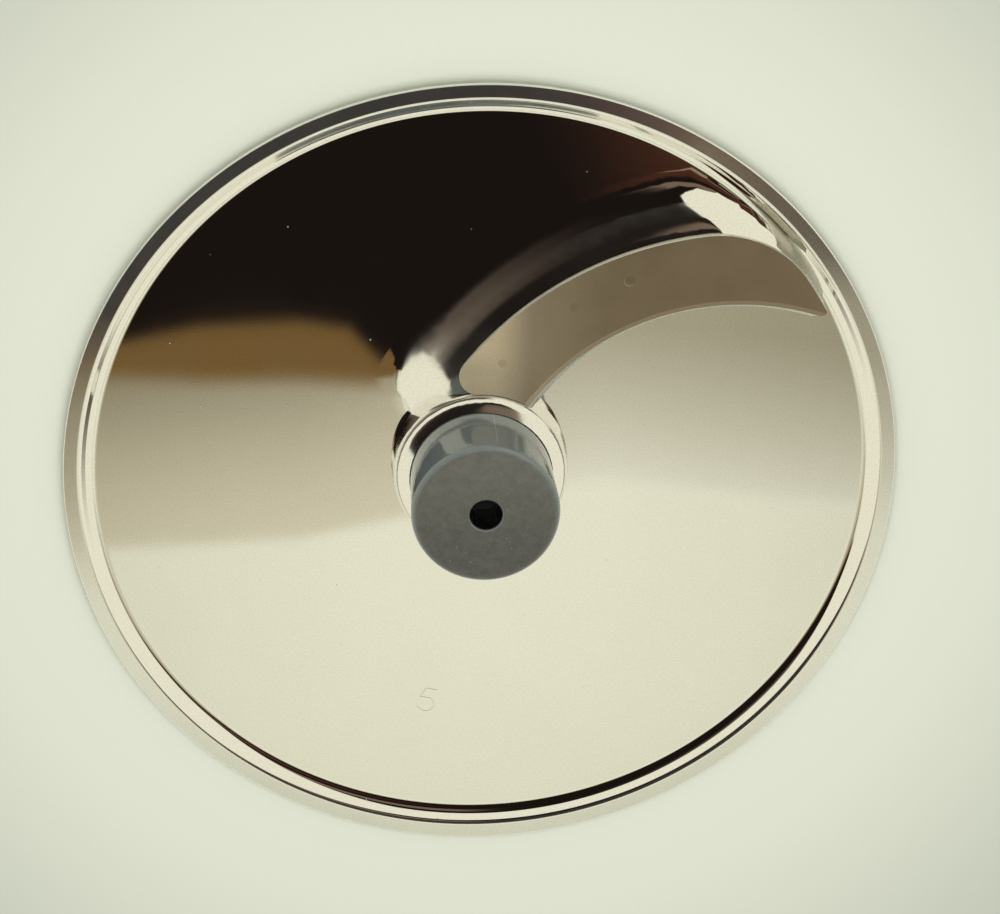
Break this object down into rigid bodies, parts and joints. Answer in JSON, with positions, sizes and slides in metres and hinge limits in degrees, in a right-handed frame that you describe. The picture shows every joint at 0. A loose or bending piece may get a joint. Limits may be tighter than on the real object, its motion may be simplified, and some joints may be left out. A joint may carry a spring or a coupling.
{
  "type": "food processor slicing disc",
  "caption": "Pressed stainless steel slicing disc with a raised crescent blade over its mouth, a drawn collar and a moulded plastic drive hub.",
  "frame": {"origin": "on the disc's axis at the underside of the flat sheet, which it rests on", "axes": "+Z along the hub, up from the working face; +X and +Y in the plane of the disc, with the blade in the +X +Y quarter"},
  "size_m": [0.19, 0.19, 0.029],
  "materials": {
    "polished_steel": "polished",
    "satin_steel": "satin",
    "grey_plastic": "satin"
  },
  "bodies": {
    "root": {"disc_plate": "polished_steel", "slicing_blade": "satin_steel", "drive_hub": "grey_plastic"}
  },
  "joints": []
}
